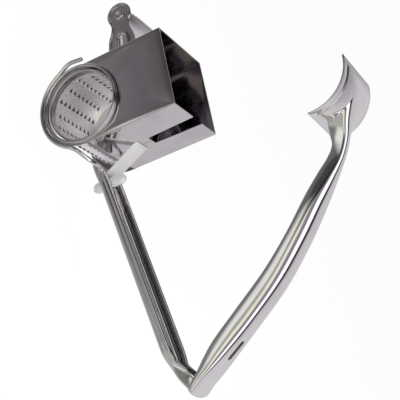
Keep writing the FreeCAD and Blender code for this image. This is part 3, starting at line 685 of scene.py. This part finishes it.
# %% Drum rim
rim = [(23.6, 5.4), (23.6, 1.3)] + arc((24.15, 1.35), 0.55, 180, 360, 8)
rim += [(24.7, 2.1), (24.35, 2.7), (24.3, 5.0), (23.9, 5.4)]
rim_piece = add_piece("drum_collar", lathe(rim, 128), "drum_sheet", "drum", ["drum_rim"])
rim_piece.data.materials[0] = metals["crank_steel"]

# %% [markdown]
# ## Crank lever
# The lever is pressed from one plate: its edge is turned up all round and a long dish
# stiffens its middle. Its outline is half a list of points and arcs, mirrored.

# %% Lever outline
LEVER_PLANE, LEVER_LENGTH, LEVER_TURN = 63.7, 100.0, math.radians(4.5)
LEVER_WAIST = [(-94.3, 8.15), (-93.0, 7.6), (-91.0, 7.3), (-89.0, 7.5), (-86.0, 8.4),
               (-82.5, 9.9), (-79.0, 10.8), (-75.0, 11.2), (-60.0, 11.7), (-30.0, 12.6),
               (-7.0, 13.35)]


def lever_outline():
    """Outline of the lever along -X, head first."""
    half = arc((-LEVER_LENGTH, 0), 9.9, 180, 62, 16) + LEVER_WAIST
    half += arc((0, 0), 13.5, 112, 0, 16)
    return half + [(x, -z) for x, z in half[-2:0:-1]]


def long_loop(x0, x1, half, count=12):
    """Oblong loop between x0 and x1 with round ends."""
    return (arc((x0 + half, 0), half, 270, 90, count)
            + arc((x1 - half, 0), half, 90, -90, count))


print("lever outline:", len(lever_outline()), "points")

# %% [markdown]
# ## Pressed lever
# The outline is filled and inset step by step, each inset with its own depth, which makes the
# turned edge. The flat that is left is filled again round the dish, and the dish is inset in
# the same way. Insets keep every band parallel to the outline.

# %% Pressed lever
LEVER_FACE = LEVER_PLANE - 0.4
DISH_START, DISH_END, DISH_HALF = -85.6, -22.0, 4.9
EDGE_STEPS = ((0.25, 0.75), (0.45, 0.3), (0.4, -0.1), (0.35, -0.75), (0.3, -0.6))
DISH_STEPS = ((0.3, 0.22), (0.4, 0.0), (0.45, -0.35), (0.4, -0.65), (0.4, -0.3))


def inset_steps(shape, face, steps):
    """Insets a face once for each (width, depth) of the steps."""
    for thickness, depth in steps:
        bmesh.ops.inset_region(shape, faces=[face], thickness=thickness, depth=depth,
                               use_even_offset=True, use_boundary=True)


def face_front(face):
    """Turns a face so that it looks along -Y."""
    face.normal_update()
    if face.normal.y > 0:
        face.normal_flip()


def pressed_lever():
    """Skin of the lever's front, turned to its place."""
    shape = bmesh.new()
    verts = [shape.verts.new((x, LEVER_FACE, z)) for x, z in lever_outline()]
    face = shape.faces.new(verts)
    face_front(face)
    inset_steps(shape, face, EDGE_STEPS)
    floor = face.verts[0].co.y
    border = list(face.edges)
    shape.faces.remove(face)
    dish = [shape.verts.new((x, floor, z))
            for x, z in long_loop(DISH_START, DISH_END, DISH_HALF)]
    loop = [shape.edges.new(pair) for pair in zip(dish, dish[1:] + dish[:1])]
    bmesh.ops.triangle_fill(shape, use_beauty=True, use_dissolve=False,
                            edges=border + loop, normal=(0, -1, 0))
    bottom = shape.faces.new(dish)
    face_front(bottom)
    inset_steps(shape, bottom, DISH_STEPS)
    turn_about_y(shape, shape.verts, LEVER_TURN)
    return face_out(shape, lambda place: Vector((0, -1, 0)))


add_piece("pressed_lever", pressed_lever(), "crank_steel", "drum", ["crank_lever"],
          wall=1.0, split=50)

# %% [markdown]
# ## Knob and its hollow rivet
# The knob is turned with a slight waist towards the lever and spins freely on a hollow rivet
# with a rolled head at each end. Both are lathe turns, kept apart because only the knob turns.

# %% Knob and its hollow rivet
KNOB = (-LEVER_LENGTH * math.cos(LEVER_TURN), LEVER_LENGTH * math.sin(LEVER_TURN))
grip = [(2.66, 65.8), (5.6, 65.8)] + arc((5.6, 66.4), 0.6, -80, 0, 4)
grip += [(6.6, 69.0), (7.2, 74.0), (7.6, 79.0), (7.8, 84.0), (7.8, 102.0)]
grip += arc((6.0, 102.6), 1.8, 5, 85, 6) + [(4.2, 104.8), (2.66, 104.8)]
add_piece("turned_knob", lathe(grip, 64, KNOB), "turned_metal", "knob", ["knob"])
rivet = [(1.1, 105.9), (1.1, 63.6)] + arc((2.55, 63.5), 1.45, 180, 350, 12)
rivet += [(2.6, 64.2), (2.6, 105.2)] + arc((2.7, 105.55), 0.6, -60, 170, 8)
add_piece("knob_rivet", lathe(rivet, 48, KNOB), "pin_steel", "drum", ["knob_post"])

# %% [markdown]
# ## Handles
# Both handles are strips pressed to a channel. The lower one is open upwards with rolled rims;
# the upper one is an arch whose lips are turned in. A section line is carried along from
# station to station, changing its width, height and rounding. A plain sweep couldn't do that.

# %% Stations and sections
ARM_MIDDLE = 30.0
HINGE = Vector((186.5, ARM_MIDDLE, 27.0))
OPENED = math.radians(46.0)


def between_stations(stations, x):
    """Row of sizes at x, on a smooth curve through the stations."""
    last = len(stations) - 2
    for number, (left, right) in enumerate(zip(stations, stations[1:])):
        if x <= right[0] or number == last:
            break
    before = stations[max(number - 1, 0)]
    after = stations[min(number + 2, last + 1)]
    span = right[0] - left[0]
    share = (x - left[0]) / span
    row = [x]
    for a, b, c, d in zip(before[1:], left[1:], right[1:], after[1:]):
        slope_b = (c - a) / max(right[0] - before[0], 1e-6) * span
        slope_c = (d - b) / max(after[0] - left[0], 1e-6) * span
        s2, s3 = share * share, share ** 3
        row.append((2 * s3 - 3 * s2 + 1) * b + (s3 - 2 * s2 + share) * slope_b
                   + (3 * s2 - 2 * s3) * c + (s3 - s2) * slope_c)
    return row


def carry_section(rows, section):
    """Skin bridged through the sections; section(row) gives the points of one station."""
    shape = bmesh.new()
    before = []
    for row in rows:
        line = [shape.verts.new(point) for point in section(row)]
        edges = [shape.edges.new(pair) for pair in zip(line, line[1:])]
        if before:
            bmesh.ops.bridge_loops(shape, edges=before + edges)
        before = edges
    return shape


def open_about_hinge(shape):
    """Turns a piece drawn closed to the open rest position."""
    turn_about_y(shape, shape.verts, OPENED, HINGE)
    return shape


print("hinge in mm:", tuple(HINGE))

# %% [markdown]
# ## Sections of the lower channel
# The channel slopes up to the hinge, where its legs rise and narrow to hold the pin. Each
# rim is rolled in to a bead that stands a little proud. The neck under it gives the side its
# thin lines of light. The front end has low plain sides and no rims. A station is x, floor,
# width, bend and the radius of the rim's roll.

# %% Sections of the lower channel
LOWER = [
    (33.0, -11.5, 20.4, 3.0, 2.0), (42.0, -9.86, 20.4, 3.0, 2.0),
    (50.0, -8.4, 20.4, 4.0, 1.6), (100.0, 0.68, 20.4, 4.0, 1.6),
    (140.0, 7.95, 20.4, 4.0, 1.6), (157.0, 11.03, 20.4, 4.0, 1.6),
    (164.0, 12.3, 20.4, 4.0, 1.6), (168.0, 13.1, 19.4, 3.9, 1.6),
    (172.0, 14.4, 17.2, 3.5, 1.5), (176.5, 16.4, 14.8, 3.0, 1.3),
    (180.5, 18.1, 13.4, 2.5, 0.5), (184.5, 20.1, 13.2, 2.2, 0.2),
    (188.5, 22.7, 13.2, 2.2, 0.2), (191.0, 24.5, 13.2, 2.0, 0.2)]
LOWER_START, LOWER_TILT = (33.0, -11.5), math.radians(10.3)
SIDE_HEIGHT, FRONT_TOP, NOSE_REACH = 8.2, -6.7, 4.6
RISE_START, RISE_END = 174.0, (182.8, 29.3)
NECK = 0.35         # depth of the neck as a share of the rim's roll


def channel_floor(x):
    """Height of the lower channel's underside at x, in front of its nose."""
    return LOWER_START[1] + (x - LOWER_START[0]) * math.tan(LOWER_TILT)


def rim_top(x):
    """Height of the top of the lower channel's sides at x."""
    if x < RISE_START:
        return channel_floor(x) + SIDE_HEIGHT
    rise_from = (RISE_START, channel_floor(RISE_START) + SIDE_HEIGHT)
    if x < RISE_END[0]:
        share = (x - rise_from[0]) / (RISE_END[0] - rise_from[0])
        return rise_from[1] + share * (RISE_END[1] - rise_from[1])
    return HINGE.z + math.sqrt(max(NOSE_REACH ** 2 - (x - HINGE.x) ** 2, 0.3))


def mirrored(side, x):
    """Line across the handle at x from half of it, near side first."""
    return [(x, ARM_MIDDLE + y, z) for y, z in [(-y, z) for y, z in side] + side[::-1]]


def lower_section(row):
    """Line of the lower channel at one station, from the near rim to the far one."""
    x, floor, width, bend, curl = row
    half, top = width / 2, rim_top(x)
    neck = NECK * curl
    side = arc((half - curl, top - curl), curl, 290, 0, 11)
    side += arc((half - curl, top - curl), curl, -14, -42, 2)
    side += [(half - neck, top - 2.2 * curl), (half - neck * 0.85, top - 2.5 * curl)]
    side += arc((half - neck * 0.6 - bend, floor + bend), bend, 0, -90, 6)
    return mirrored(side + [(half * 0.3, floor)], x)


def front_section(row):
    """Line of the plain front end of the channel, which has low sides and no rims."""
    x, floor, width, bend, _ = row
    half = width / 2
    side = [(half, FRONT_TOP)] + arc((half - bend, floor + bend), bend, 0, -90, 6)
    return mirrored(side + [(half * 0.3, floor)], x)


print("points per section:", len(lower_section(LOWER[3])), len(front_section(LOWER[0])))

# %% [markdown]
# ## Lower channel
# The sections are closer where the nose changes fast. The front end is a piece of its own:
# its sides are so low that one skin would have to tear there. Only the inner side of the
# floor and the bends carries painted shade, a dark metal; the rims are polished all round.

# %% Lower channel
FRONT_PLACES = (33.0, 36.0, 39.0, 42.1)
FLOOR_HALF = 7.0    # faces further out than this belong to the sides


def lower_outward(place):
    """Outward direction of the lower channel's skin."""
    return Vector((0, place.y - ARM_MIDDLE, -3.0))


front = carry_section([between_stations(LOWER, x) for x in FRONT_PLACES], front_section)
face_out(front, lower_outward)
add_piece("channel_front", front, "plated_steel", "frame", [], wall=0.9, split=60)
lower_places = [42.0, 44.0, 46.0, 48.0, 50.0, 65.0, 80.0, 100.0, 120.0, 140.0, 150.0, 157.0]
lower_places += [159.0 + 1.6 * number for number in range(20)] + [190.3, 190.9]
lower = carry_section([between_stations(LOWER, x) for x in lower_places], lower_section)
for face in lower.faces:
    if abs(face.calc_center_median().y - ARM_MIDDLE) > FLOOR_HALF:
        face.material_index = PLAIN_SHEET
face_out(lower, lower_outward)
channel = add_piece("rolled_channel", lower, "plated_steel", "frame", ["lower_handle"],
                    wall=0.9, split=60)
# Painted shade: the inner skin of the floor and the bends gets the dark metal.
paint_inner_skin_shade(channel, inside_shade_metal)

# %% [markdown]
# ## Sections of the upper channel
# The arch is flat and wide at its tongue, deep in the grip and narrow at its neck, where it
# passes the hopper's slot. Each section stands square to the handle's curve. Its middle
# follows the edge of the hanging slot, so that the slot can be opened by leaving faces out.
# A station is x, top, width, height, bend and lip.

# %% Sections of the upper channel
UPPER = [
    (-6.0, 28.9, 18.6, 9.0, 4.6, 1.6), (0.0, 29.8, 17.6, 11.0, 4.6, 1.6),
    (10.0, 32.9, 13.6, 12.6, 4.2, 1.5), (19.0, 36.8, 8.6, 11.2, 3.2, 1.3),
    (26.0, 39.4, 7.6, 8.5, 3.0, 1.3), (34.0, 41.4, 8.2, 8.7, 3.2, 1.4),
    (46.0, 43.2, 12.6, 9.8, 4.8, 2.0), (62.0, 45.0, 18.4, 10.2, 6.6, 2.8),
    (84.0, 47.0, 20.4, 10.6, 8.0, 3.2), (110.6, 47.4, 21.0, 11.4, 8.4, 3.4),
    (139.0, 44.2, 21.6, 11.6, 8.2, 3.4), (162.0, 40.2, 22.2, 10.4, 6.2, 3.2),
    (174.0, 37.6, 22.4, 7.6, 4.2, 2.6), (182.5, 35.3, 22.2, 4.6, 2.6, 1.9),
    (193.3, 34.0, 22.0, 3.0, 1.5, 1.6)]
TONGUE_END, TONGUE_ROUND = 193.2, 4.0
SLOT_START, SLOT_END, SLOT_HALF = 151.5, 165.5, 1.8


def slot_side(x):
    """Half width of the hanging slot at x: round ends, and full width past them."""
    into = min(x - SLOT_START, SLOT_END - x)
    if into < -0.01 or into > SLOT_HALF:
        return SLOT_HALF
    return math.sqrt(max(SLOT_HALF ** 2 - (SLOT_HALF - into) ** 2, 0.0))


def upper_section(row):
    """Line of the arched channel at one station, square to the handle's curve."""
    x, top, width, height, bend, lip = row
    ahead, behind = between_stations(UPPER, x + 0.5), between_stations(UPPER, x - 0.5)
    upright = Vector((behind[1] - ahead[1], 0, 1.0)).normalized()
    round_share = min(max((x - TONGUE_END + TONGUE_ROUND) / TONGUE_ROUND, 0.0), 1.0)
    half = width / 2 * (1 - round_share ** 2.6) ** 0.5
    bend, lip = min(bend, half * 0.7), min(lip, half * 0.4)
    curl = min(0.9, height * 0.25, half * 0.2)
    side = [(half - lip, -height)]
    side += arc((half - curl, -height + curl), curl, 270, 360, 4)
    side += arc((half - bend, -bend), bend, 8, 90, 10)
    side += [(min(slot_side(x), half * 0.25), 0.0)]
    points = [(-y, rise) for y, rise in side] + side[::-1]
    middle = Vector((x, ARM_MIDDLE, top))
    return [middle + Vector((0, y, 0)) + upright * rise for y, rise in points]


print("points per section:", len(upper_section(UPPER[9])))

# %% [markdown]
# ## Arched handle
# The skin is drawn closed, opened at the hanging slot and turned about the hinge to its rest
# place. Points that would go through the pusher are drawn back into its plate, and faces that
# lie wholly in it are left out. An even wall would make spikes at the tongue's sharp turns, so
# this one isn't evened.

# %% Arched handle
PUSHER_MIDDLE, PUSHER_BACK = Vector((2.0, 0, 1.5)), 27.4
SEAT_DEPTH = 0.3    # how far past the pusher's border face the handle ends


def arch_places():
    """Places of the sections, closer at the neck, the slot and the tongue."""
    places = [-3.6, -3.0] + [-2.0 + 2.0 * number for number in range(32)]
    places += [64.0 + 5.0 * number for number in range(18)]
    for into in (-0.4, 0.0, 0.15, 0.4, 0.8, 1.3, 1.8):
        places += [SLOT_START + into, SLOT_END - into]
    places += [156.0, 161.0, 167.5, 169.5]
    places += [171.0 + 1.5 * number for number in range(12)]
    places += [189.2, 190.0, 190.8, 191.5, 192.2, 192.7, 193.0, 193.15]
    return sorted(places)


def seat_on_pusher(shape):
    """Draws points back into the pusher plate; returns the faces that lie wholly in it."""
    seated = set()
    for vert in shape.verts:
        away = Vector((vert.co.x, 0, vert.co.z)) - PUSHER_MIDDLE
        if away.length < PUSHER_BACK + SEAT_DEPTH:
            seat = PUSHER_MIDDLE + away.normalized() * (PUSHER_BACK + SEAT_DEPTH)
            vert.co = (seat.x, vert.co.y, seat.z)
            seated.add(vert)
    return [face for face in shape.faces if seated.issuperset(face.verts)]


def arched_handle():
    """Skin of the upper handle in its open place."""
    shape = carry_section([between_stations(UPPER, x) for x in arch_places()], upper_section)
    left_out = seat_on_pusher(shape)
    print("faces left out inside the pusher:", len(left_out))
    for face in shape.faces:
        place = face.calc_center_median()
        if SLOT_START < place.x < SLOT_END and abs(place.y - ARM_MIDDLE) < 0.3:
            left_out.append(face)
    bmesh.ops.delete(shape, geom=left_out, context="FACES")
    bmesh.ops.remove_doubles(shape, verts=shape.verts, dist=0.001)
    face_out(shape, lambda place: Vector((0, place.y - ARM_MIDDLE, 6.0)))
    return open_about_hinge(shape)


arch = add_piece("arched_handle", arched_handle(), "plated_steel", "upper_handle",
                 ["upper_handle"], wall=0.9, split=50, even=False)
# Painted shade: the whole inner skin of the arch gets the dark metal.
paint_inner_skin_shade(arch, inside_shade_metal)

# %% [markdown]
# ## Hinge ears
# Two small ears under the tongue turn on the hinge pin. On a real one they would be lugs bent
# down from the tongue. Each is a flat outline pushed out to its thickness.

# %% Hinge ears
EAR_INNER, EAR_OUTER, EAR_RADIUS, EAR_RISE = 3.9, 5.1, 2.85, 6.6


def hinge_ear(side):
    """Small ear under the tongue that turns on the hinge pin."""
    shape = bmesh.new()
    loop = arc((HINGE.x, HINGE.z), EAR_RADIUS, 180, 360, 16)
    loop += [(HINGE.x + EAR_RADIUS, HINGE.z + EAR_RISE),
             (HINGE.x - EAR_RADIUS, HINGE.z + EAR_RISE)]
    face = shape.faces.new([shape.verts.new((x, ARM_MIDDLE + side * EAR_INNER, z))
                            for x, z in loop])
    pushed = bmesh.ops.extrude_face_region(shape, geom=[face])["geom"]
    bmesh.ops.translate(shape, vec=(0, side * (EAR_OUTER - EAR_INNER), 0),
                        verts=[item for item in pushed
                               if isinstance(item, bmesh.types.BMVert)])
    bmesh.ops.recalc_face_normals(shape, faces=shape.faces)
    return open_about_hinge(shape)


for name, side in (("hinge_ear_near", -1), ("hinge_ear_far", 1)):
    add_piece(name, hinge_ear(side), "plated_steel", "upper_handle", [], edge=0.15)

# %% [markdown]
# ## Pusher
# The pusher is a plate curved to the drum. Its middle is drawn outward by a shallow step,
# which stiffens the thin plate. A stepped line is spun through the plate's angle. Towards both
# ends of the turn the step is let down again, so that the plain border runs all round.

# %% Pusher
PUSHER_NEAR, PUSHER_FAR, PUSHER_BORDER = 4.75, 51.25, 5.0
PUSHER_STEP, PUSHER_RISE = 0.7, 0.7
PUSHER_START, PUSHER_SPAN = -45.0, 92.0
END_BORDER, END_STEP = 9.0, 2.0     # in degrees of the turn


def pusher_line():
    """Section along Y of the pusher: how far each point stands out of the border."""
    line = [(PUSHER_NEAR, 0.0), (PUSHER_NEAR + PUSHER_BORDER * 0.5, 0.0)]
    for share, height in ((0.0, 0.0), (0.3, 0.12), (0.7, 0.88), (1.0, 1.0)):
        line.append((PUSHER_NEAR + PUSHER_BORDER + PUSHER_STEP * share,
                     PUSHER_RISE * height))
    middle = (PUSHER_NEAR + PUSHER_FAR) / 2
    return line + [(middle, PUSHER_RISE)] + [(2 * middle - y, out) for y, out in line[::-1]]


def curved_pusher():
    """Skin of the pusher's back in its open place."""
    shape = bmesh.new()
    line = [shape.verts.new((0.0, y, PUSHER_BACK + out)) for y, out in pusher_line()]
    edges = [shape.edges.new(pair) for pair in zip(line, line[1:])]
    turn_about_y(shape, line, math.radians(PUSHER_START))
    bmesh.ops.spin(shape, geom=line + edges, cent=(0, 0, 0), axis=(0, 1, 0),
                   angle=math.radians(PUSHER_SPAN), steps=46, use_merge=False)
    bmesh.ops.remove_doubles(shape, verts=shape.verts, dist=0.001)
    middle = PUSHER_START + PUSHER_SPAN / 2
    for vert in shape.verts:
        radius = math.hypot(vert.co.x, vert.co.z)
        turn = math.degrees(math.atan2(vert.co.x, vert.co.z)) - middle
        inside = (PUSHER_SPAN / 2 - abs(turn) - END_BORDER) / END_STEP
        inside = min(max(inside, 0.0), 1.0)
        kept = (PUSHER_BACK + (radius - PUSHER_BACK) * inside) / radius
        vert.co.x *= kept
        vert.co.z *= kept
    bmesh.ops.translate(shape, vec=PUSHER_MIDDLE, verts=shape.verts)
    face_out(shape, lambda place: Vector((place.x, 0, place.z)) - PUSHER_MIDDLE)
    return open_about_hinge(shape)


add_piece("curved_pusher", curved_pusher(), "plated_steel", "upper_handle",
          ["pusher_plate"], wall=0.9, edge=0.2, split=40)

# %% [markdown]
# ## Brace strap
# A flat strap runs from the hopper's back flanges down to a foot turned under it. Its bends
# are true arcs, since a soft bend carries a wide highlight. It narrows a little towards its
# foot, to lie on the channel's flat floor.

# %% Brace strap
STRAP_TOE, STRAP_HEEL, STRAP_WALL = 35.4, 44.0, 29.2
STRAP_BEND, STRAP_TOP, STRAP_RADIUS = 20.8, 23.2, 1.5
STRAP_FOOT = LOWER_START[1] + 1.0 / math.cos(LOWER_TILT) + 0.02
FOOT_HALF, STRAP_WIDEN = 5.8, 0.9


def soften(points, radius, count=6):
    """Path of (x, z) points whose inner corners are rounded to radius."""
    path = [points[0]]
    for before, corner, after in zip(points, points[1:], points[2:]):
        before, corner, after = Vector(before), Vector(corner), Vector(after)
        back, on = (before - corner).normalized(), (after - corner).normalized()
        half = back.angle(on) / 2
        run = min(radius / math.tan(half), (before - corner).length * 0.45,
                  (after - corner).length * 0.45)
        for number in range(count + 1):
            share = number / count
            a = corner + back * run * (1 - share)
            b = corner + on * run * share
            path.append(tuple(a.lerp(b, share)))
    return path + [points[-1]]


def on_floor(x):
    """Place of the strap's foot at x: on the channel's floor."""
    return x, STRAP_FOOT + (x - LOWER_START[0]) * math.tan(LOWER_TILT)


def strap_line(x, z):
    """Line across the strap, wider from just above the heel."""
    share = min(max((z - on_floor(STRAP_HEEL)[1] - 0.8) / 2.6, 0.0), 1.0)
    half = FOOT_HALF + STRAP_WIDEN * share
    return [(x, ARM_MIDDLE + half * place, z) for place in (-1, -0.5, 0, 0.5, 1)]


def strap_skin():
    """Skin of the strap from its toe up to the flanges."""
    path = soften([on_floor(STRAP_TOE), on_floor(STRAP_HEEL), (STRAP_WALL, STRAP_BEND),
                   (STRAP_WALL, STRAP_TOP)], STRAP_RADIUS)
    shape = carry_section(path, lambda row: strap_line(*row))
    return face_out(shape, lambda place: Vector((1.0, 0, 0.3)))


strap = add_piece("bent_strap", strap_skin(), "plated_steel", "frame", ["brace_strap"],
                  wall=1.2, edge=0.15, split=40)
strap.data.materials[0] = satin

# %% [markdown]
# ## Carried over nodes
# Where the construction model already has the true shape, it only gets its metal. Its mesh
# comes as loose triangles: a weld joins them, a small bevel catches the light along the cut
# edges, and an edge split keeps the real corners crisp.

# %% Dress the nodes
def dress(name, material):
    """Gives a carried over node its metal, softened edges and smooth curved faces."""
    node = nodes[name]
    node.data.materials.clear()
    node.data.materials.append(material)
    for polygon in node.data.polygons:
        polygon.use_smooth = True
    weld = node.modifiers.new("weld", "WELD")
    weld.merge_threshold = 0.002 * MM
    ease_edges(node, 0.12, 40, 32)


slot_of = {row["node"]: row["material_slot"] for row in frame["record"]["subparts"]}
shown = [name for name in nodes if not nodes[name].hide_render]
for name in shown:
    dress(name, satin if name == "tab_plate" else metals[slot_of[name]])
print("dressed nodes:", shown)
